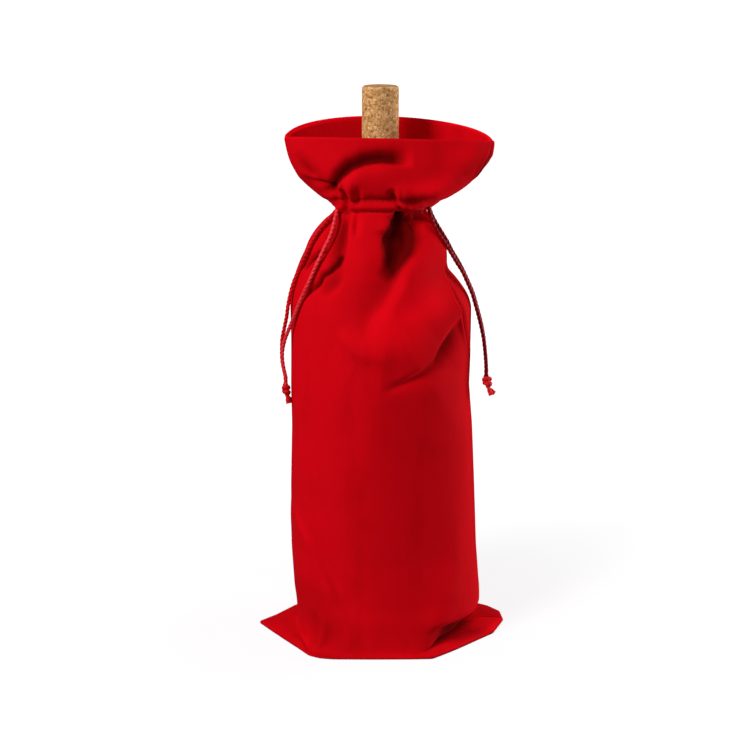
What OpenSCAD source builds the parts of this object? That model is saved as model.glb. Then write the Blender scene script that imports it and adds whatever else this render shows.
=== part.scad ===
// Velvet drawstring wine bag, drawn closed round a corked bottle.
// Millimetres, +Z up. The origin is the centre of the base, on the surface the bag stands on.
// X runs from side seam to side seam and -Y is the front.

/* [Bag] */
// Distance from the middle of the base to the tip of each folded bottom corner
tip_x = 76; // [75:1:80]
// Half the depth of the base, front to back
base_y = 48; // [48:1:51]
// Half width plus half depth at the slanted edge of a folded bottom corner
corner_sum = 80; // [79:1:84]
// Thickness of the velvet
cloth_t = 1.2; // [0.8:0.1:1.3]
// Gap between the two layers of cloth in a folded bottom corner
fold_gap = 0.3; // [0.2:0.1:0.5]
// How far the front rim rises between the side seams
front_rise = 3; // [0:1:6]
// How far the back rim rises between the side seams
back_rise = 9; // [0:1:12]

/* [Channel] */
// Thickness of the hem that is turned in behind the collar
hem_t = 1; // [0.8:0.1:1.1]
// Height of the channel's lower edge
channel_low = 267.6; // [267.4:0.1:267.8]
// Height of the channel's upper edge
channel_high = 274.4; // [274.2:0.1:274.6]
// Stitches in each row round the channel
stitch_count = 36; // [24:2:44]
// Length of one stitch
stitch_l = 2.4; // [1.6:0.1:2.6]
// Thickness of the sewing thread
thread_d = 0.5; // [0.3:0.1:0.6]

/* [Drawstrings] */
// Diameter of the cord
cord_d = 2.5; // [2:0.1:2.5]
// Widest radius of a knot
knot_r = 3.4; // [3:0.1:3.6]
// Height of a knot
knot_h = 8; // [7:0.5:9]

/* [Bottle] */
// Radius of the bottle's body
bottle_r = 37.5; // [36:0.5:38]
// Height of the bottle
bottle_h = 306.8; // [304:0.2:308]
// Radius of the bottle's neck
neck_r = 14.3; // [14:0.1:14.6]
// Radius of the ring round the mouth
lip_r = 14.8; // [14.6:0.1:15.2]
// Radius of the bore that the cork goes into
bore_r = 9.25; // [9.2:0.05:9.4]
// Thickness of the glass
glass_t = 3; // [2.5:0.1:3.5]

/* [Cork] */
// Radius of the cork above the mouth of the bottle
cork_r = 10.75; // [10:0.05:11.5]
// Length of the cork above the mouth of the bottle
cork_out = 32.5; // [20:0.5:36]
// Length of the cork inside the neck
cork_in = 11.5; // [8:0.5:24]
// Radial clearance of the cork in the neck
cork_gap = 0.05; // [0.02:0.01:0.1]

/* [Hidden] */
$fn = 96;

CLOTH = "crimson";
CORD = "firebrick";
FRONT = -1;
BACK = 1;
LEFT = -1;
RIGHT = 1;

// Sections of the bag: height, half width, half depth, shift to the right, superellipse power.
STATIONS = [
    [310, 60, 28, 4.5, 2],
    [302, 59.5, 27.5, 5, 2],
    [292, 55.5, 26.3, 4.5, 2],
    [285, 49.5, 24.8, 4, 2],
    [279, 41.5, 22.8, 3, 2],
    [275.8, 28, 20.8, 1.5, 2],
    [274.8, 27.5, 20.5, 1.5, 2],
    [274, 27.5, 20.5, 1.5, 2],
    [268, 27.5, 20.5, 1.5, 2],
    [266.4, 27.5, 20.5, 1.5, 2],
    [263, 30.2, 22.5, 0.5, 2],
    [256, 36, 26.5, -1, 2],
    [248, 40.5, 30.8, -2, 2],
    [240, 43.5, 34.5, -2.5, 2],
    [232, 46.5, 37.5, -2.5, 2],
    [224, 50, 39.8, -1.5, 2],
    [216, 53, 41.2, 0, 2],
    [200, 54.5, 42, 0.5, 2],
    [160, 54.5, 42, 0.5, 2],
    [120, 56, 41.5, 1, 2],
    [80, 57, 41, 2, 2],
    [50, 57.5, 41.3, 2.5, 2],
    [25, 57.5, 43, 3, 2.1],
    [8, 55, 45.5, 3, 2.3]];
ROOT = [52, 46.5, 2, 2.5];
COLUMNS = 30;
CHANNEL_STATION = 6;
EXIT_ROW = 7;
FRONT_EXIT_COLUMNS = 8;
BACK_EXIT_COLUMNS = 1;
ring_x = STATIONS[CHANNEL_STATION][3];
neck_top = 275.8;
rim_z = STATIONS[0][0];
top_layer_z = 2 * cloth_t + fold_gap;
inner_outline = 0.975;
seam_share = 0.947;

// Hem, as heights and how far its outer face lies inside the panel's outer face.
hem_gap = 0.2;
hem_inset = cloth_t + hem_gap;
channel_inset = cloth_t + cord_d + 2 * hem_gap;
hem_overlap = 1.4;
stitch_gap = 0.15;
HEM = [[rim_z, hem_inset], [302, hem_inset], [292, hem_inset], [285, hem_inset], [279, hem_inset],
    [neck_top, hem_inset], [channel_high + 0.2, channel_inset], [channel_low - 0.2, channel_inset],
    [channel_low - 0.2 - hem_overlap, hem_inset]];

// The drawstrings lie one over the other in the channel.
loop_inset = cloth_t + hem_gap + cord_d / 2;
left_loop_z = 269.4;
right_loop_z = 272.6;
exit_front_y = -10.6;
exit_back_y = -7.4;
loop_end_r = 27.3;
loop_start = 46;
loop_sweep = 334;
LOOP_STEPS = 36;

// Routes of the free strands, from the channel down to the knot.
LEFT_FRONT_ROUTE = [
    [-27.7, -10.6, 269.4], [-28.2, -14, 264.5], [-28.8, -17.5, 259], [-30.5, -20, 253.5],
    [-33, -21.8, 248.2], [-35.6, -23.2, 242.8], [-38.4, -24, 237], [-41.5, -24.5, 230],
    [-44.5, -23.5, 223.5], [-47.5, -21.5, 216.5], [-50, -19, 210], [-52.5, -15.5, 203.5],
    [-55, -12, 197], [-57.5, -9.5, 190], [-59, -8, 183], [-59, -7.4, 176],
    [-58, -7.4, 170], [-57.5, -7.4, 166], [-57.5, -7.4, 162]];
LEFT_BACK_ROUTE = [
    [-27.7, -7.4, 269.4], [-31, -9, 265.2], [-34.7, -10.5, 260.5], [-38, -11.5, 255],
    [-41, -12, 249.5], [-43.8, -12, 243.8], [-46.5, -11.5, 238], [-49, -11, 232],
    [-51.5, -11, 226], [-53.5, -10.5, 219], [-55, -10, 212], [-56, -9, 205],
    [-57.5, -7.5, 198], [-59, -6, 191], [-59.5, -5, 184], [-59.5, -4.6, 177],
    [-58.5, -4.6, 170.5], [-57.5, -4.6, 166], [-57.5, -4.6, 162]];
RIGHT_FRONT_ROUTE = [
    [30.7, -10.6, 272.6], [30.9, -11, 267], [32.2, -11.5, 261.5], [34.5, -12, 256],
    [38, -11.5, 250.5], [41.5, -10, 244.5], [45, -8.5, 238.5], [49, -7.5, 232],
    [52, -7, 225.5], [55, -6.5, 218.5], [57, -6, 212], [59, -6, 205],
    [60.8, -6, 198], [62.3, -6, 191], [63.3, -6, 184], [64, -6.2, 177],
    [64.5, -6.4, 171], [64.5, -6.4, 167]];
RIGHT_BACK_ROUTE = [
    [30.7, -7.4, 272.6], [31.7, -7.5, 267], [33.7, -8, 261.5], [36.5, -8, 256],
    [39.5, -7.5, 250.5], [42.5, -6, 244.5], [46, -4.5, 238.5], [49.5, -4, 232],
    [52.5, -3.6, 225.5], [55.5, -3.3, 218.5], [57.5, -3, 212], [59.5, -3, 205],
    [61.3, -3, 198], [62.6, -3, 191], [63.5, -3.2, 184], [64.2, -3.4, 177],
    [64.5, -3.6, 171], [64.5, -3.6, 167]];

// Middle of each knot's upper face.
left_knot_top = [-57.5, -6, 162];
right_knot_top = [64.5, -5, 167];
knot_flat_r = 2.9;
end_l = 6;
end_spread = 1.4;
end_lean = 2.4;

// The bottle stands on the bag's base; its shoulder is two arcs that meet in a common tangent.
body_top_z = 186;
foot_r = 3.5;
punt_r = 26;
punt_h = 20;
punt_edge_w = 6;
punt_edge_h = 2;
shoulder_r = 28;
hollow_r = 22;
lip_h = 13;
neck_taper = 0.4;
neck_bore_rise = 30;
edge_r = 1;
floor_t = 5;
mouth_z = cloth_t + bottle_h;
shoulder_x = bottle_r - shoulder_r;
hollow_x = neck_r + hollow_r;
hollow_z = body_top_z + sqrt(pow(shoulder_r + hollow_r, 2) - pow(hollow_x - shoulder_x, 2));
tangent = atan2(hollow_z - body_top_z, hollow_x - shoulder_x);
ARC_STEPS = 14;

// Interpolated value k of the bag's section at height z.
function section(z, k) = lookup(z, [for (s = STATIONS) [s[0], s[k]]]);
function power(v, p) = sign(v) * pow(abs(v), p);

// Point of the wall at height z and angle t, on the given side, moved inwards by inset.
function wall(z, t, side, inset) =
    let (n = 2 / section(z, 4),
        rise = (side == FRONT ? front_rise : back_rise) * max(0, (z - neck_top) / (rim_z - neck_top)))
    [section(z, 3) + (section(z, 1) - inset) * power(cos(t), n),
        side * (section(z, 2) - inset) * power(sin(t), n),
        z + rise * sin(t)];

// Point where the wall meets the base.
function root(t, side, inset, z) =
    let (n = 2 / ROOT[3])
    [ROOT[2] + (ROOT[0] - inset) * power(cos(t), n), side * (ROOT[1] - inset) * power(sin(t), n), z];

// Point on the outline of the base, an octagon with two folded corners.
function outline_r(t) =
    min(tip_x / abs(cos(t)), base_y / abs(sin(t)), corner_sum / (abs(cos(t)) + abs(sin(t))));
function outline(t, side, share, z) =
    [share * outline_r(t) * cos(t), side * share * outline_r(t) * sin(t), z];
function seam_point(t, z) = [seam_share * outline_r(t) * cos(t), 0, z];

function angles() = [for (i = [0:COLUMNS]) 180 - 180 * i / COLUMNS];

function outer_rows(side) = [
    for (s = STATIONS) [for (t = angles()) wall(s[0], t, side, 0)],
    [for (t = angles()) root(t, side, 0, top_layer_z)],
    [for (t = angles()) outline(t, side, 1, top_layer_z)],
    [for (t = angles()) outline(t, side, 1, 0)],
    [for (t = angles()) seam_point(t, 0)]];
function inner_rows(side) = [
    for (s = STATIONS) [for (t = angles()) wall(s[0], t, side, cloth_t)],
    [for (t = angles()) root(t, side, cloth_t, cloth_t + fold_gap)],
    [for (t = angles()) outline(t, side, inner_outline, cloth_t + fold_gap)],
    [for (t = angles()) outline(t, side, inner_outline, cloth_t)],
    [for (t = angles()) seam_point(t, cloth_t)]];

function hem_rows(side, extra) =
    [for (h = HEM) [for (t = angles()) wall(h[0], t, side, h[1] + extra)]];

// Two triangles over four corners, wound the other way if flip is true.
function quad(a, b, c, d, flip) = flip ? [[a, c, b], [a, d, c]] : [[a, b, c], [a, c, d]];
function flatten(rows) = [for (r = rows) each r];

// True if the cell at row r and column c lies in one of the cut-outs [row, first column, last column].
function is_cut(cuts, r, c) = len([for (k = cuts) if (r == k[0] && c >= k[1] && c <= k[2]) k]) > 0;

// Closed shell between an outer and an inner grid of points, open at the cut-outs.
// The cells' diagonals are mirrored about the middle column, so that none is flat at the bottom seam's ends.
module shell(outer, inner, flip, cuts = []) {
    rows = len(outer);
    cols = len(outer[0]);
    half = rows * cols;
    faces = [
        for (r = [0:rows - 2], c = [0:cols - 2])
            if (!is_cut(cuts, r, c))
                let (i = r * cols + c, right = i + 1, below = i + cols, far = i + cols + 1)
                each concat(
                    c < (cols - 1) / 2
                        ? concat(quad(right, far, below, i, flip),
                            quad(half + right, half + i, half + below, half + far, flip))
                        : concat(quad(i, right, far, below, flip),
                            quad(half + i, half + below, half + far, half + right, flip)),
                    r == 0 || is_cut(cuts, r - 1, c) ? quad(i, half + i, half + right, right, flip) : [],
                    r == rows - 2 || is_cut(cuts, r + 1, c)
                        ? quad(below, far, half + far, half + below, flip) : [],
                    c == 0 || is_cut(cuts, r, c - 1)
                        ? quad(i, below, half + below, half + i, flip) : [],
                    c == cols - 2 || is_cut(cuts, r, c + 1)
                        ? quad(right, half + right, half + far, far, flip) : [])];
    polyhedron(concat(flatten(outer), flatten(inner)), faces);
}

// The channel is open at both side seams, where the drawstrings come out.
function cord_exits(columns) = [
    [EXIT_ROW, 0, columns - 1],
    [EXIT_ROW, COLUMNS - columns, COLUMNS - 1]];

module panel(side, exit_columns) {
    color(CLOTH)
        shell(outer_rows(side), inner_rows(side), side == BACK, cord_exits(exit_columns));
}

module front_panel() panel(FRONT, FRONT_EXIT_COLUMNS);
module back_panel() panel(BACK, BACK_EXIT_COLUMNS);

module hem(side) {
    color(CLOTH)
        shell(hem_rows(side, 0), hem_rows(side, hem_t), side == BACK);
}

module front_hem() hem(FRONT);
module back_hem() hem(BACK);

module stitch_row(z) {
    out = thread_d / 2 + stitch_gap;
    a = STATIONS[CHANNEL_STATION][1] + out;
    b = STATIONS[CHANNEL_STATION][2] + out;
    color("darkred")
        for (i = [0:stitch_count - 1]) {
            t = (i + 0.5) * 360 / stitch_count;
            translate([ring_x + a * cos(t), b * sin(t), z])
                rotate([0, 0, atan2(b * cos(t), -a * sin(t))])
                cube([stitch_l, thread_d, thread_d], center = true);
        }
}

module upper_channel_stitches() stitch_row(channel_high + thread_d / 2);
module lower_channel_stitches() stitch_row(channel_low - thread_d / 2);

// Round cord of eight sides swept along a route; up is never parallel to the route.
module cord(route, up, d = cord_d) {
    sides = 8;
    last = len(route) - 1;
    rings = [for (i = [0:last])
        let (ahead = route[min(i + 1, last)] - route[max(i - 1, 0)],
            across = cross(ahead, up) / norm(cross(ahead, up)),
            over = cross(across, ahead) / norm(ahead))
        for (k = [0:sides - 1])
            route[i] + d / 2 * (cos(360 * k / sides) * across + sin(360 * k / sides) * over)];
    faces = [
        for (i = [0:last - 1], k = [0:sides - 1])
            let (a = i * sides + k, b = i * sides + (k + 1) % sides)
            each quad(a, b, b + sides, a + sides, false),
        [for (k = [0:sides - 1]) sides - 1 - k],
        [for (k = [0:sides - 1]) last * sides + k]];
    color(CORD) polyhedron(rings, faces);
}

// Cord round the whole channel, with both ends turned out through one side's slot.
module draw_loop(side, z) {
    a = STATIONS[CHANNEL_STATION][1] - loop_inset;
    b = STATIONS[CHANNEL_STATION][2] - loop_inset;
    ring = [for (i = [0:LOOP_STEPS])
        let (t = loop_start + loop_sweep * i / LOOP_STEPS)
        [ring_x + side * a * cos(t), -b * sin(t), z]];
    end_x = ring_x + side * loop_end_r;
    ends = [[end_x, exit_front_y, z], [end_x, exit_back_y, z]];
    cord(concat([ends[0]], ring, [ends[1]]), [0, 0, side]);
}

module left_draw_loop() draw_loop(LEFT, left_loop_z);
module right_draw_loop() draw_loop(RIGHT, right_loop_z);

module left_strand_front() cord(LEFT_FRONT_ROUTE, [0, 1, 0]);
module left_strand_back() cord(LEFT_BACK_ROUTE, [0, 1, 0]);
module right_strand_front() cord(RIGHT_FRONT_ROUTE, [0, 1, 0]);
module right_strand_back() cord(RIGHT_BACK_ROUTE, [0, 1, 0]);

// Knot as a round bead with flat ends, its upper face at the given point.
module knot(top) {
    bulge = [for (i = [0:ARC_STEPS])
        let (t = i / ARC_STEPS)
        [knot_flat_r + (knot_r - knot_flat_r) * sin(180 * t), -knot_h * t]];
    color(CORD)
        translate(top)
        rotate_extrude()
        polygon(concat([[0, 0]], bulge, [[0, -knot_h]]));
}

module left_knot() knot(left_knot_top);
module right_knot() knot(right_knot_top);

// The two cut ends of a drawstring below its knot.
module cord_ends(top) {
    for (side = [LEFT, RIGHT])
        let (start = top + [0, side * end_spread, -knot_h])
        cord([start, start - [0, 0, end_l / 3],
            start + [end_lean / 3, side * end_spread / 3, -2 * end_l / 3],
            start + [end_lean, side * end_spread, -end_l]], [0, 1, 0]);
}

module left_cord_ends() cord_ends(left_knot_top);
module right_cord_ends() cord_ends(right_knot_top);

function arc(x, z, r, from, to) = [for (i = [0:ARC_STEPS])
    let (t = from + (to - from) * i / ARC_STEPS) [x + r * cos(t), z + r * sin(t)]];

// Half section of the bottle: up the outside, over the lip and down the inside.
function bottle_section() = let (base = cloth_t, inner_r = bottle_r - glass_t) concat(
    [[0, base + punt_h], [punt_r - punt_edge_w, base + punt_edge_h], [punt_r, base]],
    arc(bottle_r - foot_r, base + foot_r, foot_r, -90, 0),
    arc(shoulder_x, body_top_z, shoulder_r, 0, tangent),
    arc(hollow_x, hollow_z, hollow_r, 180 + tangent, 180),
    [[neck_r - neck_taper, mouth_z - lip_h], [lip_r, mouth_z - lip_h]],
    arc(lip_r - edge_r, mouth_z - edge_r, edge_r, 0, 90),
    [[bore_r, mouth_z], [bore_r, hollow_z + neck_bore_rise]],
    arc(hollow_x, hollow_z, hollow_r + glass_t, 180, 180 + tangent),
    arc(shoulder_x, body_top_z, shoulder_r - glass_t, tangent, 0),
    arc(inner_r - foot_r, base + floor_t + foot_r, foot_r, 0, -90),
    [[punt_r - punt_edge_w, base + floor_t + punt_edge_h], [0, base + floor_t + punt_h]]);

module bottle() {
    color("darkgreen") rotate_extrude() polygon(bottle_section());
}

module cork() {
    low = mouth_z - cork_in;
    high = mouth_z + cork_out;
    seated_r = bore_r - cork_gap;
    color("burlywood")
        rotate_extrude()
        polygon([[0, low], [seated_r - edge_r, low], [seated_r, low + edge_r], [seated_r, mouth_z],
            [cork_r, mouth_z], [cork_r, high - edge_r], [cork_r - edge_r, high], [0, high]]);
}

front_panel();
back_panel();
front_hem();
back_hem();
upper_channel_stitches();
lower_channel_stitches();
left_draw_loop();
right_draw_loop();
left_strand_front();
left_strand_back();
left_knot();
left_cord_ends();
right_strand_front();
right_strand_back();
right_knot();
right_cord_ends();
bottle();
cork();
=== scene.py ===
"""Velvet drawstring wine bag, drawn closed round a corked bottle.

The shape tables are in millimetres, as the part's own sizes are. The cords' routes and
everything that goes to Blender are in metres. X runs from side seam to side seam, -Y is the
front and +Z is up.
"""

import math
import random

import bpy
import numpy as np
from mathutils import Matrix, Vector


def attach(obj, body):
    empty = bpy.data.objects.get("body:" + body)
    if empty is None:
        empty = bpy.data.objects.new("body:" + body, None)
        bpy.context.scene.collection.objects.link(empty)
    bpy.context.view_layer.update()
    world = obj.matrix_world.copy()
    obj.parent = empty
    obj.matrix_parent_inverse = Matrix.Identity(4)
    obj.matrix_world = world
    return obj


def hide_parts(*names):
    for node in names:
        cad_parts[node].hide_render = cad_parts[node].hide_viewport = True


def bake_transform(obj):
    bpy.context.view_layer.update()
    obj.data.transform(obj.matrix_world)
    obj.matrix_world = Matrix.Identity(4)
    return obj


MM = 0.001
FRONT = -1
BACK = 1
BAG = "bag"

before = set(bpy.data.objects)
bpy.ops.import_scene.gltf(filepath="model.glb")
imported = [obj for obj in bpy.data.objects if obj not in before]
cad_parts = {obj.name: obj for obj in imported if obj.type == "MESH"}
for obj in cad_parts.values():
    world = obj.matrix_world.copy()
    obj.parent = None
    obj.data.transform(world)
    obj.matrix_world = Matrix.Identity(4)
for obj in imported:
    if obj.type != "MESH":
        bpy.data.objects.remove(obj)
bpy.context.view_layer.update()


# ---------------------------------------------------------------- node helpers

def fill(tree, node, inputs):
    """Link each named input of a node to the socket given for it, or set it to the value given."""
    for name, value in inputs.items():
        if isinstance(value, bpy.types.NodeSocket):
            tree.links.new(value, node.inputs[name])
        else:
            node.inputs[name].default_value = value
    return node


def add_node(tree, kind, inputs=None, **settings):
    """New shader node with its settings and inputs; kind is the part of its type after ShaderNode."""
    node = tree.nodes.new("ShaderNode" + kind)
    for name, value in settings.items():
        setattr(node, name, value)
    return fill(tree, node, inputs or {})


def new_material(name):
    """New material: itself, its node tree and its shader."""
    material = bpy.data.materials.new(name)
    material.use_nodes = True
    return material, material.node_tree, material.node_tree.nodes["Principled BSDF"]


def coordinates(tree, scale=(1, 1, 1)):
    """Object coordinates, stretched by scale."""
    place = add_node(tree, "TexCoord").outputs["Object"]
    return add_node(tree, "Mapping", {"Vector": place, "Scale": scale}).outputs["Vector"]


def noise(tree, vector, scale, detail=2, rough=0.5):
    inputs = {"Vector": vector, "Scale": scale, "Detail": detail, "Roughness": rough}
    return add_node(tree, "TexNoise", inputs).outputs["Fac"]


def ramp(tree, value, stops):
    """Colour for a value; each stop is a value and its colour."""
    node = add_node(tree, "ValToRGB", {"Fac": value})
    elements = node.color_ramp.elements
    while len(elements) < len(stops):
        elements.new(0.5)
    for element, (place, color) in zip(elements, stops):
        element.position = place
        element.color = (*color, 1)
    return node.outputs["Color"]


def mix(tree, factor, first, second, blend="MIX"):
    """Two colours mixed by a factor, each of the three a socket or a value."""
    inputs = {"Factor": factor, "A": first, "B": second}
    return add_node(tree, "Mix", inputs, data_type="RGBA", blend_type=blend).outputs["Result"]


def bump(tree, height, strength, distance):
    inputs = {"Height": height, "Strength": strength, "Distance": distance}
    return add_node(tree, "Bump", inputs).outputs["Normal"]


def add_values(tree, first, second, share):
    """The first value plus a share of the second."""
    return add_node(tree, "Math", {0: second, 1: share, 2: first}, operation="MULTIPLY_ADD").outputs[0]


# ---------------------------------------------------------------- camera, light and floor

CAMERA_PLACE = (-0.0031, -0.884, 0.4227)
CAMERA_TILT = 16.2
CAMERA_LENS = 72.24
CAMERA_SENSOR = 36
# Strength of the white that the camera sees round the bag, and of the light it gives.
WORLD_SEEN = 1.1
WORLD_LIGHT = 0.21
# Name, place, target, width, power.
LIGHTS = [
    ("key", (-1.05, -1.0, 1.2), (0, 0, 0.15), 0.7, 25),
    ("rim", (1.42, 0.35, 0.16), (0, 0, 0.2), 0.9, 24)]
FLOOR_HALF = 3.0
FLOOR_COLOR = (0.22, 0.21, 0.23, 1)
# The floor's own brightness for the camera: distance from the bag and brightness, near and far.
FLOOR_NEAR = (0.12, 0.84)
FLOOR_FAR = (0.5, 1.05)
WHITE = (1, 1, 1, 1)


def make_camera():
    data = bpy.data.cameras.new("camera")
    data.lens = CAMERA_LENS
    data.sensor_width = CAMERA_SENSOR
    data.clip_start = 0.05
    data.clip_end = 50
    camera = bpy.data.objects.new("camera", data)
    camera.location = CAMERA_PLACE
    camera.rotation_euler = (math.radians(90 - CAMERA_TILT), 0, 0)
    bpy.context.collection.objects.link(camera)
    bpy.context.scene.camera = camera


def area_light(name, place, target, size, power):
    data = bpy.data.lights.new(name, "AREA")
    data.shape = "DISK"
    data.size = size
    data.energy = power
    light = bpy.data.objects.new(name, data)
    light.location = place
    aim = Vector(target) - Vector(place)
    light.rotation_euler = aim.to_track_quat("-Z", "Y").to_euler()
    bpy.context.collection.objects.link(light)


def make_world():
    """White to the camera, a weaker white for the light it gives."""
    world = bpy.data.worlds.new("studio")
    world.use_nodes = True
    tree = world.node_tree
    tree.nodes.clear()
    seen = add_node(tree, "Background", {"Color": WHITE, "Strength": WORLD_SEEN}).outputs[0]
    given = add_node(tree, "Background", {"Color": WHITE, "Strength": WORLD_LIGHT}).outputs[0]
    to_camera = add_node(tree, "LightPath").outputs["Is Camera Ray"]
    both = add_node(tree, "MixShader", {0: to_camera, 1: given, 2: seen}).outputs[0]
    add_node(tree, "OutputWorld", {"Surface": both})
    bpy.context.scene.world = world


def floor_material():
    """Matt and pale, with a glow that only the camera sees and that grows away from the bag."""
    material, tree, shader = new_material("floor_white")
    place = add_node(tree, "TexCoord").outputs["Object"]
    distance = add_node(tree, "VectorMath", {0: place}, operation="LENGTH").outputs["Value"]
    level = add_node(tree, "MapRange", {
        "Value": distance, "From Min": FLOOR_NEAR[0], "From Max": FLOOR_FAR[0],
        "To Min": FLOOR_NEAR[1], "To Max": FLOOR_FAR[1]}).outputs["Result"]
    to_camera = add_node(tree, "LightPath").outputs["Is Camera Ray"]
    glow = add_node(tree, "Math", {0: level, 1: to_camera}, operation="MULTIPLY").outputs[0]
    fill(tree, shader, {
        "Base Color": FLOOR_COLOR, "Roughness": 1, "Specular IOR Level": 0, "Emission Color": WHITE,
        "Emission Strength": glow})
    return material


def make_studio():
    """The white surroundings, the two lights and the floor."""
    bpy.context.scene.view_settings.view_transform = "Standard"
    make_world()
    for light in LIGHTS:
        area_light(*light)
    corners = [(x * FLOOR_HALF, y * FLOOR_HALF, 0) for x, y in ((-1, -1), (1, -1), (1, 1), (-1, 1))]
    add_mesh("floor", corners, [(0, 1, 2, 3)], floor_material(), smooth=False)


# ---------------------------------------------------------------- materials

# Tint of the pile by the mesh's painted shading value: painted light, none, and painted shade.
PAINTED_SHADING_TINTS = [
    (-0.5, (1.55, 1.55, 1.55)), (0, (1, 1, 1)), (0.45, (0.62, 0.5, 0.5)), (1, (0.20, 0.08, 0.06))]
VELVET_DARK = (0.57, 0.0004, 0.0035)
VELVET_LIGHT = (0.69, 0.0008, 0.0060)


def velvet_material():
    """Short red pile, a little streaked along the cut, with painted shade deep in the folds and painted
    light where the mesh's value is below zero.
    """
    material, tree, shader = new_material("red_velvet")
    streaks = noise(tree, coordinates(tree, (1, 1, 0.12)), 90, 3)
    mottle = noise(tree, coordinates(tree), 45)
    pile = noise(tree, coordinates(tree), 1900)
    tone = add_values(tree, add_values(tree, streaks, mottle, 0.6), pile, 0.35)
    color = ramp(tree, tone, [(0.55, VELVET_DARK), (1, VELVET_LIGHT)])
    # A value on the mesh paints shade into the colour in the folds, and paints light where it is below
    # zero.
    painted_shading = add_node(tree, "Attribute", attribute_name="painted_shading").outputs["Fac"]
    lowest = PAINTED_SHADING_TINTS[0][0]
    level = add_node(tree, "MapRange", {"Value": painted_shading, "From Min": lowest}).outputs["Result"]
    tint = ramp(tree, level, [((value - lowest) / (1 - lowest), color) for value, color in PAINTED_SHADING_TINTS])
    fill(tree, shader, {
        "Base Color": mix(tree, 1, color, tint, "MULTIPLY"), "Roughness": 0.82,
        "Specular IOR Level": 0.03, "Sheen Weight": 0.25, "Sheen Roughness": 0.4,
        "Sheen Tint": (1, 0.01, 0.03, 1),
        "Normal": bump(tree, add_values(tree, pile, mottle, 1.5), 0.35, 0.0003)})
    return material


def satin_material(name, dark, light, shine):
    """Satin cord: fine fibres, with a painted highlight on their crests where the bump rises. Its shine is
    strength and paleness.
    """
    material, tree, shader = new_material(name)
    gloss, tint = shine
    fibres = noise(tree, coordinates(tree), 1400)
    fill(tree, shader, {
        "Base Color": ramp(tree, fibres, [(0.35, dark), (0.68, light)]), "Roughness": 0.38,
        "Specular IOR Level": gloss, "Specular Tint": (1, tint, tint * 1.3, 1),
        "Normal": bump(tree, fibres, 0.5, 0.0003)})
    return material


def thread_material():
    material, tree, shader = new_material("red_thread")
    fibres = noise(tree, coordinates(tree), 2500)
    color = ramp(tree, fibres, [(0.3, (0.30, 0.001, 0.004)), (0.7, (0.50, 0.004, 0.010))])
    fill(tree, shader, {"Base Color": color, "Roughness": 0.6, "Specular IOR Level": 0.15})
    return material


# Granules of the cork to the metre, and the two ends of a mask.
GRANULES = 620
NONE = (0, 0, 0)
FULL = (1, 1, 1)


def cork_material():
    """Pressed cork: tan granules of many tones, with dark specks and pores between them."""
    material, tree, shader = new_material("pressed_cork")
    vector = coordinates(tree)
    cells = {"Vector": vector, "Scale": GRANULES}
    grain = add_node(tree, "TexVoronoi", cells).outputs["Color"]
    edge = add_node(tree, "TexVoronoi", cells, feature="DISTANCE_TO_EDGE").outputs["Distance"]
    tone = add_node(tree, "SeparateColor", {"Color": grain}).outputs["Red"]
    color = ramp(tree, tone, [
        (0, (0.44, 0.19, 0.058)), (0.25, (0.62, 0.31, 0.108)), (0.6, (0.76, 0.40, 0.148)),
        (1, (0.94, 0.56, 0.24))])
    specks = noise(tree, vector, 560, 3, 0.6)
    speck_mask = ramp(tree, specks, [(0.60, NONE), (0.66, FULL)])
    seam_mask = ramp(tree, edge, [(0, FULL), (0.07, NONE)])
    color = mix(tree, speck_mask, color, (0.16, 0.055, 0.018, 1))
    color = mix(tree, seam_mask, color, (0.36, 0.17, 0.065, 1))
    fill(tree, shader, {
        "Base Color": color, "Roughness": 0.85, "Specular IOR Level": 0.2,
        "Normal": bump(tree, add_values(tree, edge, specks, -0.8), 0.6, 0.0005)})
    return material


def glass_material():
    material, tree, shader = new_material("dark_green_glass")
    ripple = noise(tree, coordinates(tree, (1, 1, 0.5)), 60)
    fill(tree, shader, {
        "Base Color": ramp(tree, ripple, [(0.3, (0.010, 0.050, 0.016)), (0.7, (0.022, 0.085, 0.030))]),
        "Transmission Weight": 0.85, "Roughness": 0.04, "IOR": 1.5,
        "Normal": bump(tree, ripple, 0.15, 0.0006)})
    return material


# ---------------------------------------------------------------- mesh helpers

def add_mesh(name, points, faces, material, smooth=True):
    """New object from points in metres."""
    mesh = bpy.data.meshes.new(name)
    mesh.from_pydata([tuple(p) for p in points], [], [tuple(f) for f in faces])
    mesh.update()
    mesh.polygons.foreach_set("use_smooth", [smooth] * len(mesh.polygons))
    mesh.materials.append(material)
    piece = bpy.data.objects.new(name, mesh)
    bpy.context.collection.objects.link(piece)
    return piece


def add_piece(name, body, node, slot, points, faces, material):
    """New piece that rides on a body in the place of a CAD node."""
    piece = add_mesh(name, points, faces, material)
    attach(piece, body)
    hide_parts(node)
    return piece


def grid_faces(rows, columns, flip=False):
    faces = []
    for r in range(rows - 1):
        for c in range(columns - 1):
            a = r * columns + c
            face = (a, a + columns, a + columns + 1, a + 1)
            faces.append(face[::-1] if flip else face)
    return faces


def ring_faces(count, sides):
    """Faces between a number of rings, one after the other, with both ends closed."""
    faces = []
    for i in range(count - 1):
        for k in range(sides):
            a = i * sides + k
            b = i * sides + (k + 1) % sides
            faces.append((a, b, b + sides, a + sides))
    faces.append(tuple(range(sides))[::-1])
    faces.append(tuple((count - 1) * sides + k for k in range(sides)))
    return faces


def join_meshes(parts):
    """Points and faces of several meshes as one."""
    points = []
    faces = []
    for more, more_faces in parts:
        start = len(points)
        points.extend(more)
        faces.extend(tuple(start + k for k in face) for face in more_faces)
    return points, faces


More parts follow.
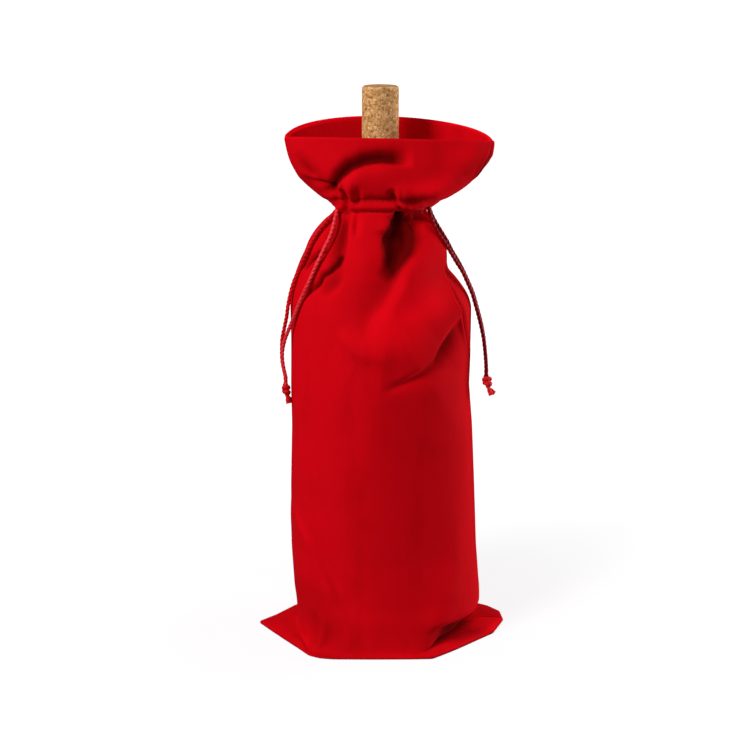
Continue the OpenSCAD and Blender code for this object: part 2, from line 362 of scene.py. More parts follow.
def run_along(points):
    """Distance of each point from the first one, along the line through them."""
    steps = np.linalg.norm(np.diff(points, axis=0), axis=1)
    return np.concatenate([[0], np.cumsum(steps)])


def points_at(spots, run, points):
    """Points of a line at the given distances along it."""
    return np.column_stack([np.interp(spots, run, points[:, k]) for k in range(3)])


def smooth_path(points, step):
    """Points a step apart along a Catmull-Rom curve through the given points."""
    points = [Vector(p) for p in points]
    dense = []
    for i in range(len(points) - 1):
        a = points[max(i - 1, 0)]
        b = points[i]
        c = points[i + 1]
        d = points[min(i + 2, len(points) - 1)]
        parts = max(2, int((c - b).length / step * 2))
        for k in range(parts):
            t = k / parts
            dense.append(0.5 * ((2 * b) + (c - a) * t + (2 * a - 5 * b + 4 * c - d) * t * t
                                + (3 * b - a - 3 * c + d) * t * t * t))
    dense.append(points[-1])
    dense = np.array([tuple(p) for p in dense])
    run = run_along(dense)
    count = max(3, int(round(run[-1] / step)) + 1)
    return points_at(np.linspace(0, run[-1], count), run, dense)


# Sets where a tube's first corner is. No tube starts out in this direction.
TUBE_START = (0.31, 0.77, 0.55)


def tube_mesh(path, radii, sides=24, ply_depth=0.0):
    """Points and faces of a tube with closed ends, grooved where its twisted plies meet."""
    tangents = np.gradient(path, axis=0)
    tangents /= np.linalg.norm(tangents, axis=1)[:, None]
    normal = np.cross(tangents[0], TUBE_START)
    normal /= np.linalg.norm(normal)
    points = []
    travelled = 0.0
    for i in range(len(path)):
        if i:
            travelled += np.linalg.norm(path[i] - path[i - 1])
            normal = normal - tangents[i] * np.dot(normal, tangents[i])
            normal /= np.linalg.norm(normal)
        side = np.cross(tangents[i], normal)
        for k in range(sides):
            angle = 2 * math.pi * k / sides
            groove = 1 - abs(math.cos(PLIES * (angle - CORD_TURN * travelled) / 2))
            radius = radii[i] * (1 - ply_depth * groove)
            points.append(path[i] + radius * (math.cos(angle) * normal + math.sin(angle) * side))
    return points, ring_faces(len(path), sides)


# ---------------------------------------------------------------- drawstrings

CORD_D = 0.0025
CORD_STEP = 0.0004
PLIES = 3
# Twist in radians per metre, and how deep the plies' grooves are as a share of the radius.
CORD_TURN = 2 * math.pi / 0.0085
PLY_DEPTH = 0.28
KNOT_PLY_DEPTH = 0.24
LEFT_FRONT_ROUTE = [
    (-0.0277, -0.0106, 0.2694), (-0.0282, -0.0140, 0.2645), (-0.0288, -0.0175, 0.2590),
    (-0.0305, -0.0200, 0.2535), (-0.0330, -0.0218, 0.2482), (-0.0356, -0.0232, 0.2428),
    (-0.0384, -0.0240, 0.2370), (-0.0415, -0.0245, 0.2300), (-0.0445, -0.0235, 0.2235),
    (-0.0475, -0.0215, 0.2165), (-0.0500, -0.0190, 0.2100), (-0.0525, -0.0155, 0.2035),
    (-0.0550, -0.0120, 0.1970), (-0.0575, -0.0095, 0.1900), (-0.0590, -0.0080, 0.1830),
    (-0.0590, -0.0074, 0.1760), (-0.0580, -0.0074, 0.1700), (-0.0575, -0.0074, 0.1660),
    (-0.0575, -0.0074, 0.1620)]
LEFT_BACK_ROUTE = [
    (-0.0277, -0.0074, 0.2694), (-0.0310, -0.0090, 0.2652), (-0.0347, -0.0105, 0.2605),
    (-0.0380, -0.0115, 0.2550), (-0.0410, -0.0120, 0.2495), (-0.0438, -0.0120, 0.2438),
    (-0.0465, -0.0115, 0.2380), (-0.0490, -0.0110, 0.2320), (-0.0515, -0.0110, 0.2260),
    (-0.0535, -0.0105, 0.2190), (-0.0550, -0.0100, 0.2120), (-0.0560, -0.0090, 0.2050),
    (-0.0575, -0.0075, 0.1980), (-0.0590, -0.0060, 0.1910), (-0.0595, -0.0050, 0.1840),
    (-0.0595, -0.0046, 0.1770), (-0.0585, -0.0046, 0.1705), (-0.0575, -0.0046, 0.1660),
    (-0.0575, -0.0046, 0.1620)]
RIGHT_FRONT_ROUTE = [
    (0.0307, -0.0106, 0.2726), (0.0309, -0.0110, 0.2670), (0.0322, -0.0115, 0.2615),
    (0.0345, -0.0120, 0.2560), (0.0380, -0.0115, 0.2505), (0.0415, -0.0100, 0.2445),
    (0.0450, -0.0085, 0.2385), (0.0490, -0.0075, 0.2320), (0.0520, -0.0070, 0.2255),
    (0.0550, -0.0065, 0.2185), (0.0570, -0.0060, 0.2120), (0.0590, -0.0060, 0.2050),
    (0.0608, -0.0060, 0.1980), (0.0623, -0.0060, 0.1910), (0.0633, -0.0060, 0.1840),
    (0.0640, -0.0062, 0.1770), (0.0645, -0.0064, 0.1710), (0.0645, -0.0064, 0.1670)]
RIGHT_BACK_ROUTE = [
    (0.0307, -0.0074, 0.2726), (0.0317, -0.0075, 0.2670), (0.0337, -0.0080, 0.2615),
    (0.0365, -0.0080, 0.2560), (0.0395, -0.0075, 0.2505), (0.0425, -0.0060, 0.2445),
    (0.0460, -0.0045, 0.2385), (0.0495, -0.0040, 0.2320), (0.0525, -0.0036, 0.2255),
    (0.0555, -0.0033, 0.2185), (0.0575, -0.0030, 0.2120), (0.0595, -0.0030, 0.2050),
    (0.0613, -0.0030, 0.1980), (0.0626, -0.0030, 0.1910), (0.0635, -0.0032, 0.1840),
    (0.0642, -0.0034, 0.1770), (0.0645, -0.0036, 0.1710), (0.0645, -0.0036, 0.1670)]
# How far the first points of a strand are tucked in under the cloth, towards the neck.
TUCKS = (0.0024, 0.0017, 0.0009, 0.0003)


def strand(node, route, material):
    """One free drawstring strand: three plies twisted round each other."""
    side = math.copysign(1, route[0][0])
    tucked = [(x - side * tuck, y, z) for (x, y, z), tuck in zip(route, TUCKS)] + route[len(TUCKS):]
    path = smooth_path(tucked, CORD_STEP)
    points, faces = tube_mesh(path, np.full(len(path), CORD_D / 2), ply_depth=PLY_DEPTH)
    piece = add_mesh(node + "_visual", points, faces, material)
    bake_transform(piece)
    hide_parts(node)


# Overhand knot of the doubled cord, from its top: the wrap round the cords, and the cords' own core.
KNOT_WRAP = [
    (-1.9, 1.3, -3.0), (-2.3, -0.6, -2.4), (-1.0, -2.1, -1.6), (0.9, -2.3, -1.1), (2.1, -0.8, -1.7),
    (2.2, 1.2, -2.8), (0.8, 2.3, -3.7), (-1.2, 2.0, -4.3), (-2.2, 0.2, -4.6), (-1.2, -1.9, -4.6),
    (0.7, -2.3, -4.5), (2.0, -0.7, -5.0), (1.4, 0.9, -5.9), (0.4, 0.4, -6.4)]
KNOT_CORE = [(0, 0, 0.2), (-0.2, -0.5, -2.0), (0.2, -0.3, -4.3), (0.6, 0, -6.9)]
KNOT_WRAP_R = 1.35
KNOT_CORE_R = 1.8
# The wrap's depth from front to back as a share of what is drawn.
KNOT_DEEP = 0.85
# Cut end: sideways lean and spread, front to back, height. Then its radii, at shares of its length.
CUT_END = [(0.6, 0, 0.8, -6.2), (1.2, 0, 1.0, -7.8), (2.2, 0.5, 1.3, -9.8), (3.4, 1.0, 1.5, -11.8)]
CUT_END_SHARES = [0, 0.35, 0.9, 1]
CUT_END_R = [1.2, 1.15, 1.7, 1.6]


def tubes(node, body, lines, material):
    """One piece of the drawstring made of several tubes, each given as its points and radii."""
    parts = [tube_mesh(line, radii, 20, KNOT_PLY_DEPTH) for line, radii in lines]
    return add_piece(node + "_visual", body, node, "cord", *join_meshes(parts), material)


def knot(node, body, top, material, width, lean):
    """Overhand knot: width scales it sideways and lean shears it."""
    lines = []
    for route, radius in ((KNOT_WRAP, KNOT_WRAP_R), (KNOT_CORE, KNOT_CORE_R)):
        placed = [top + MM * np.array((x * width - lean * z, y * KNOT_DEEP, z)) for x, y, z in route]
        line = smooth_path(placed, CORD_STEP)
        lines.append((line, np.full(len(line), radius * MM)))
    return tubes(node, body, lines, material)


def cord_ends(node, body, top, material, lean):
    """The two cut ends below a knot, flared where the plies open."""
    lines = []
    for side in (-1, 1):
        placed = [top + MM * np.array((aside * lean + side * spread, side * y, z))
                  for aside, spread, y, z in CUT_END]
        line = smooth_path(placed, CORD_STEP)
        radii = np.interp(np.linspace(0, 1, len(line)), CUT_END_SHARES, CUT_END_R) * MM
        lines.append((line, radii))
    return tubes(node, body, lines, material)


# The cord inside the channel: its oval's middle and half widths, where round it the oval starts
# and how far it goes, in how many parts, and the step of the finished path in metres.
LOOP_X = 1.5
LOOP_HALF_X = 24.0
LOOP_HALF_Y = 17.85
LOOP_START = math.radians(46)
LOOP_SWEEP = math.radians(334)
LOOP_PARTS = 48
LOOP_STEP = 0.0006
# Its way in and out at the strands: distance from LOOP_X, y, height above the cord's own.
LOOP_IN = [(25.2, -10.6, 0), (21.5, -9.4, 0), (18.0, -11.0, 0.6)]
LOOP_OUT = (25.2, -7.4, 0)


def draw_loop(node, side, z, material):
    """The cord inside the channel, from one strand round the neck to the other."""
    route = list(LOOP_IN)
    for i in range(LOOP_PARTS + 1):
        angle = LOOP_START + LOOP_SWEEP * i / LOOP_PARTS
        y = -LOOP_HALF_Y * math.sin(angle)
        route.append((LOOP_HALF_X * math.cos(angle), y, float(channel_rise(y))))
    route.append(LOOP_OUT)
    placed = [(MM * (LOOP_X + side * x), MM * y, MM * (z + rise)) for x, y, rise in route]
    path = smooth_path(placed, LOOP_STEP)
    points, faces = tube_mesh(path, np.full(len(path), CORD_D / 2), 16, PLY_DEPTH)
    add_piece(node + "_visual", BAG, node, "cord", points, faces, material)


# Where the strands meet their knots, in metres, and the heights of the two cords in the channel.
LEFT_TOP = (-0.0575, -0.006, 0.162)
RIGHT_TOP = (0.0645, -0.005, 0.167)
LEFT_LOOP_Z = 269.4
RIGHT_LOOP_Z = 272.6
# Width and lean of each knot, and lean of its cut ends.
LEFT_KNOT = (0.66, 0.10)
RIGHT_KNOT = (0.84, 0.20)
LEFT_ENDS_LEAN = 0.8
RIGHT_ENDS_LEAN = 1.25
# The satin's shine, and how pale it is; the painted light copy, for the strand that catches the light, has
# more of both.
SATIN_SHINE = (0.25, 0.04)
LIT_COPY_SHINE = (0.6, 0.3)


def make_drawstrings():
    # The same satin in lit and shaded copies: the left copy is the middle tone, the bright copy and the end
    # copy are painted light, and the right copy is painted shade.
    left = satin_material("left_cord_satin", (0.50, 0.001, 0.006), (0.84, 0.012, 0.022), SATIN_SHINE)
    painted_light_satin = satin_material("cord_satin_painted_light", (0.72, 0.004, 0.010), (1, 0.055, 0.075), LIT_COPY_SHINE)
    right = satin_material("cord_satin_painted_shade", (0.17, 0.0004, 0.003), (0.36, 0.002, 0.008), SATIN_SHINE)
    painted_light_end_satin = satin_material("cord_end_satin_painted_light", (0.78, 0.006, 0.012), (1, 0.055, 0.070), SATIN_SHINE)
    left_ends = cord_ends("left_cord_ends", "left_tail", LEFT_TOP, left, LEFT_ENDS_LEAN)
    right_ends = cord_ends("right_cord_ends", "right_tail", RIGHT_TOP, painted_light_end_satin, RIGHT_ENDS_LEAN)
    left_knot = knot("left_knot", "left_tail", LEFT_TOP, left, *LEFT_KNOT)
    right_knot = knot("right_knot", "right_tail", RIGHT_TOP, painted_light_end_satin, *RIGHT_KNOT)
    strand("left_strand_front", LEFT_FRONT_ROUTE, painted_light_satin)
    strand("left_strand_back", LEFT_BACK_ROUTE, left)
    strand("right_strand_front", RIGHT_FRONT_ROUTE, right)
    strand("right_strand_back", RIGHT_BACK_ROUTE, right)
    draw_loop("left_draw_loop", -1, LEFT_LOOP_Z, left)
    draw_loop("right_draw_loop", 1, RIGHT_LOOP_Z, right)


# ---------------------------------------------------------------- the bag's shape

FLAT_WIDTH = 152.0
# Outline of the bag: height, left, right, front and back half widths.
OUTLINE = [
    (310, 56.1, 66.5, 22.5, 28), (302, 54.4, 66.7, 23.5, 27.6), (297, 52.8, 64.2, 24.4, 27.2),
    (292, 50.2, 60, 25, 26.5), (287.5, 47.6, 55.8, 25.2, 25.5), (283, 43.7, 50.8, 24.8, 24.4),
    (280.5, 40.6, 47.1, 24.2, 24), (278, 37.4, 43.2, 23.4, 23), (276.6, 35.4, 41.2, 22.4, 22),
    (275.4, 33.8, 39.2, 21.3, 21.3), (273.2, 30.2, 34.8, 20.6, 20.6), (271.2, 26, 30, 20.4, 20.4),
    (269.6, 24, 27.2, 20.4, 20.4), (267.6, 25.2, 27.6, 20.4, 20.4), (264, 30.6, 30.6, 22.5, 22.5),
    (259, 35.6, 33.6, 25.5, 25.5), (254, 39.6, 36.4, 28, 28), (249, 42.5, 38.6, 30.5, 30.5),
    (244, 44.3, 40.2, 33, 33), (239, 46.8, 41, 35, 35), (234.5, 48.7, 41.4, 37, 37),
    (232, 49.6, 41.9, 37.8, 37.8), (229.5, 50.5, 44, 38.2, 38.5), (224.6, 51.8, 47.6, 39.2, 39.8),
    (219.7, 53.1, 51, 40, 40.8), (216, 53.6, 53.2, 40.5, 41.5), (210, 53.8, 55, 41.5, 42),
    (187, 53.6, 54.9, 42, 42.5), (162, 54.1, 54.1, 42, 42.5), (136, 53.9, 56.3, 41.8, 42),
    (96.5, 55.1, 58.3, 41.5, 41.5), (56, 55.2, 60.2, 42, 41.5), (28.6, 53.7, 62.6, 44.5, 43.5),
    (20, 52.5, 62.8, 46, 45)]
# How square the section is: 2 is an ellipse. Height, front, back.
SQUARENESS = [(310, 2, 2), (60, 2, 2), (30, 2.25, 2.2), (20, 2.5, 2.3)]
# Where the side seams lie: height, degrees that the left and the right one turn to the front.
SEAM_TURN = [
    (310, 0, 10), (303, 0, 15), (298, 0, 18), (292, 0, 14), (285, 0, 4), (276, 0, 2), (264, 0, 4),
    (250, 4, 12), (236, 5, 25), (218, 4, 31), (202, 3, 24), (180, 2, 12), (120, 2, 8), (60, 0, 5),
    (20, 0, 0)]
RIM_Z = 310.0
# How far the rim departs from that height: at the side seams, down to the right, front and back.
RIM_SIDES = -1.6
RIM_TILT = 1.3
RIM_RISE = {FRONT: 3.4, BACK: 10.5}
# The rim's shape fades away down to the neck with this power of the height.
RIM_POWER = 1.5
# Depth of a fold at which painted shade begins, and at which it is darkest.
PAINTED_SHADE_FROM = 2.0
PAINTED_SHADE_FULL = 9.0
# Rows of stitches above and below the drawstrings, at the side seams.
CHANNEL_HIGH = 274.0
CHANNEL_LOW = 267.4
CHANNEL_RISE = 2.4
CHANNEL_RISE_Y = 20.0
NECK_TOP = 276.0
COLUMNS = 190
# Row spacing down the wall: from this height on, this step.
ROW_STEPS = [(310, 1.2), (302, 0.8), (214, 1.2), (160, 2.2), (20, 2.2)]
# Base: cloth arc from the front centre (as a share of a panel's half width), then the point where
# the wall meets the base and the point of the base's outline that it runs out to.
FRONT_BASE = [
    (-1, (-51.5, 0), (-75.7, -1.5)), (-0.86, (-50.6, -13), (-68.6, -11.5)),
    (-0.70, (-48.7, -25), (-60.5, -22.5)), (-0.54, (-46.3, -36), (-51.2, -35)),
    (-0.42, (-43.3, -45.3), (-43.6, -46)), (-0.34, (-36.2, -49), (-36.6, -49.7)),
    (-0.24, (-28.4, -50.4), (-28.7, -51)), (0, (-4, -50.6), (-4, -51.2)), (0.20, (18, -50), (19, -51)),
    (0.32, (28.5, -46), (31.6, -50.5)), (0.44, (35.5, -38), (42, -42)), (0.56, (41.5, -30), (50.5, -34.5)),
    (0.70, (46.8, -20.5), (60.5, -25)), (0.84, (50, -11), (70.8, -15.5)), (1, (51.5, 0), (78.2, 2))]
BACK_BASE = [
    (-1, (-51.5, 0), (-75.7, -1.5)), (-0.84, (-50.8, 12), (-66, 8)), (-0.68, (-48.5, 24), (-54.5, 22.5)),
    (-0.5, (-42, 36), (-44, 37)), (-0.34, (-32, 44), (-33, 46)), (0, (0, 47), (0, 48.5)),
    (0.34, (32, 43.5), (34, 45)), (0.5, (42.5, 36), (47, 38)), (0.66, (49, 25.5), (60, 27)),
    (0.8, (51.3, 15), (70, 21)), (0.9, (51.8, 7), (77, 13)), (1, (51.5, 0), (78.2, 2))]
# Height of the base's upper layer at the ears, and where the wall runs down to the edge.
TOP_LAYER = 2.7
TOP_LAYER_THIN = 1.5
# Points that a row's outline is measured with before its columns are spread evenly along it.
SECTION_PARTS = 400
# How much the tables are softened: steps in mm down the wall, and in shares along the base.
TABLE_BLUR = 1.6 / 1.5
BASE_BLUR = 0.012


def smooth_step(value, low, high):
    t = np.clip((value - low) / (high - low), 0, 1)
    return t * t * (3 - 2 * t)


def blurred(known, values, spots, step, spread):
    """Values interpolated at the spots, averaged over three steps to both sides."""
    total = 0
    result = np.zeros(len(spots))
    for k in range(-3, 4):
        weight = math.exp(-k * k / spread)
        result += weight * np.interp(spots + k * step, known, values)
        total += weight
    return result / total


def table(rows, heights, column):
    """Value of a table's column at each height, softened over a few millimetres."""
    rows = sorted(rows)
    return blurred([row[0] for row in rows], [row[column] for row in rows], heights, TABLE_BLUR, 4.5)


def wall_heights():
    """Heights of the wall's rows, from the rim down."""
    heights = [ROW_STEPS[0][0]]
    for (high, step), (low, _) in zip(ROW_STEPS, ROW_STEPS[1:]):
        count = int(round((high - low) / step))
        heights.extend(high - (high - low) * (i + 1) / count for i in range(count))
    return np.array(heights, dtype=float)


def wall_grid(side):
    """Bare wall of one panel, left seam to right seam, without any folds."""
    heights = wall_heights()
    left = table(OUTLINE, heights, 1)
    right = table(OUTLINE, heights, 2)
    depth = table(OUTLINE, heights, 3 if side == FRONT else 4)
    power = table(SQUARENESS, heights, 1 if side == FRONT else 2)
    left_turn = np.radians(table(SEAM_TURN, heights, 1) * -side)
    right_turn = np.radians(table(SEAM_TURN, heights, 2) * -side)
    shares = np.linspace(0, 1, COLUMNS + 1)
    grid = np.zeros((len(heights), COLUMNS + 1, 3))
    for r, z in enumerate(heights):
        angles = np.linspace(math.pi - left_turn[r], right_turn[r], SECTION_PARTS)
        cosine = np.cos(angles)
        sine = np.sin(angles)
        n = 2 / power[r]
        wide = np.where(cosine < 0, left[r], right[r])
        x = wide * np.sign(cosine) * np.abs(cosine) ** n
        y = side * depth[r] * np.sign(sine) * np.abs(sine) ** n
        run = np.concatenate([[0], np.cumsum(np.hypot(np.diff(x), np.diff(y)))])
        place = shares * run[-1]
        grid[r, :, 0] = np.interp(place, run, x)
        grid[r, :, 1] = np.interp(place, run, y)
        turn = np.interp(place, run, angles)
        lift = np.clip((z - NECK_TOP) / (RIM_Z - NECK_TOP), 0, 1) ** RIM_POWER
        rise = RIM_SIDES - RIM_TILT * np.cos(turn) + RIM_RISE[side] * np.abs(np.sin(turn))
        grid[r, :, 2] = z + rise * lift
    return grid


def grid_normals(grid, side):
    """Outward unit normals of a grid."""
    across = np.gradient(grid, axis=1)
    down = np.gradient(grid, axis=0)
    normals = np.cross(down, across) * (1 if side == FRONT else -1)
    return normals / np.maximum(np.linalg.norm(normals, axis=2), 1e-9)[:, :, None]


def fold(grid, power, line):
    """Outward push of a fold drawn on a panel as seen from the front.

    Each point of the line is x, z, push, width on the right of (or above) the line, and width on
    its left (or below) where that is another one, for a line drawn downwards (or to the right).
    Power 2 is a soft wave and 1 is a sharp crease.
    """
    x = grid[:, :, 0]
    z = grid[:, :, 2]
    nearest = np.full(x.shape, 1e9)
    push = np.zeros(x.shape)
    for a, b in zip(line, line[1:]):
        dx = b[0] - a[0]
        dz = b[1] - a[1]
        length = math.hypot(dx, dz)
        t = np.clip(((x - a[0]) * dx + (z - a[1]) * dz) / length ** 2, 0, 1)
        off_x = x - a[0] - t * dx
        off_z = z - a[1] - t * dz
        distance = np.hypot(off_x, off_z)
        above = (dx * off_z - dz * off_x) / length > 0
        width = np.where(above, a[3] + t * (b[3] - a[3]), a[-1] + t * (b[-1] - a[-1]))
        value = (a[2] + t * (b[2] - a[2])) * np.exp(-(distance / width) ** power)
        closer = distance < nearest
        push = np.where(closer, value, push)
        nearest = np.where(closer, distance, nearest)
    return push


# Folds by name. See fold() for the numbers. First the dark pocket under the main pleat.
POCKET = (3, [
    (11.4, 271.5, -3, 0.9), (11.6, 269.2, -6, 3, 3.4), (11.8, 266.4, -8, 5.8, 6.6),
    (12.8, 263.5, -9, 8.2, 9.6), (13.4, 260, -9.4, 10.2, 12), (13.2, 256, -9.4, 11, 13),
    (12.2, 251, -8.4, 10.2, 11.5), (10.4, 245.5, -6, 7.6, 9), (7.6, 239, -2.8, 4.4, 6.5),
    (2.4, 232, 0, 3, 6)])
# Band of the collar that hangs over the lobe below it.
COLLAR_BAND = (3, [
    (-33, 279, -1, 3, 0.9), (-28.8, 280, -4.5, 3, 0.7), (-26, 285, -5, 4, 0.7), (-22.4, 290, -5.8, 5, 0.7),
    (-16.4, 295, -5.8, 6, 0.7), (-8.5, 298.4, -5.8, 6.2, 0.7), (0.5, 299.7, -5.7, 6.2, 0.9),
    (8, 299.4, -5.2, 6.4, 1.4), (12.5, 299.6, -3.2, 6.4, 2), (19, 300, 0, 6.4, 3)])
# Sharp creases at the left shoulder.
LEFT_CREASE = (1.6, [
    (-31, 249.5, 0, 1, 1.4), (-35.6, 246.3, -2.4, 1, 1.7), (-40.2, 241.8, -2.8, 1, 1.7),
    (-44.6, 236, -1.6, 1.2, 1.8)])
JAGGED_CREASE = (1.6, [
    (-22.4, 247.5, 0, 0.9, 1.2), (-23.4, 244.3, -2.2, 0.9, 1.5), (-24.6, 240.8, -2.8, 0.9, 1.6),
    (-29.2, 236.8, -2.8, 0.9, 1.6), (-33.8, 233.9, -2.8, 0.9, 1.6), (-35.9, 228.9, -2.8, 0.9, 1.6),
    (-41.9, 222.9, -2.2, 1, 1.8), (-49, 215, 0, 1.4, 2)])
# Painted shade, drawn as strokes: beside the left strands, under them, and at the collar's left.
PAINTED_SHADE_STRIP = (2, [
    (-22.5, 270, -1.4, 2.4, 3), (-23.5, 262, -2.4, 2.6, 5), (-25, 250, -2.4, 3, 6), (-27, 243, -1.2, 3, 6)])
LEFT_PAINTED_SHADE = (2, [
    (-25.5, 251, 0, 4), (-24.5, 242, -3.2, 5, 6), (-27, 233, -3.5, 6), (-32, 226, -3, 5), (-37, 221, 0, 4)])
COLLAR_PAINTED_SHADE = (2, [(-50, 309, 0, 5), (-47, 303, -3.8, 6), (-44, 296, -3.2, 5), (-40, 291, 0, 4)])
# Painted shade along the deepest part of the diagonal crease.
DIAGONAL_PAINTED_SHADE = (2, [
    (47, 203, 0, 2, 1.6), (42.7, 198, -3.6, 3, 1.6), (36.3, 193, -4.6, 3.4, 1.6), (30, 187, -4.8, 3.8, 1.6),
    (23.6, 181.8, -4.4, 4, 1.6), (17, 179, -2.6, 4, 2), (11, 177, 0, 4, 2)])
# Painted light on the front: here the third number is how much.
FRONT_PAINTED_LIGHT = [
    (2, [(40, 226, 0, 8), (31, 219, 0.38, 12, 10), (18, 211, 0.46, 13, 9), (7, 204, 0.38, 12, 8),
        (-3, 198, 0.15, 9, 7), (-12, 195, 0, 6)]),
    (2, [(52, 312, 0.2, 6, 8), (48, 302, 0.34, 7, 9), (42, 292, 0.25, 7, 8), (33, 284.5, 0.45, 6, 7),
        (20, 283, 0.25, 4), (12, 282, 0, 4)]),
]
# Painted shade where the collar turns away behind its right seam.
BACK_SEAM_PAINTED_SHADE = (2, [
    (65, 307, -1, 3), (62.5, 299, -5, 4), (56, 289.5, -5, 4), (46, 281.5, -4, 3.5), (37, 276, 0, 3)])
# Painted shade low down at the front's left, where the wall meets the ear.
BASE_PAINTED_SHADE = (2, [(-52, 44, 0, 8), (-45, 33, -2.4, 10, 12), (-35, 20, -2.8, 10, 12), (-28, 6, -1.8, 9, 10)])
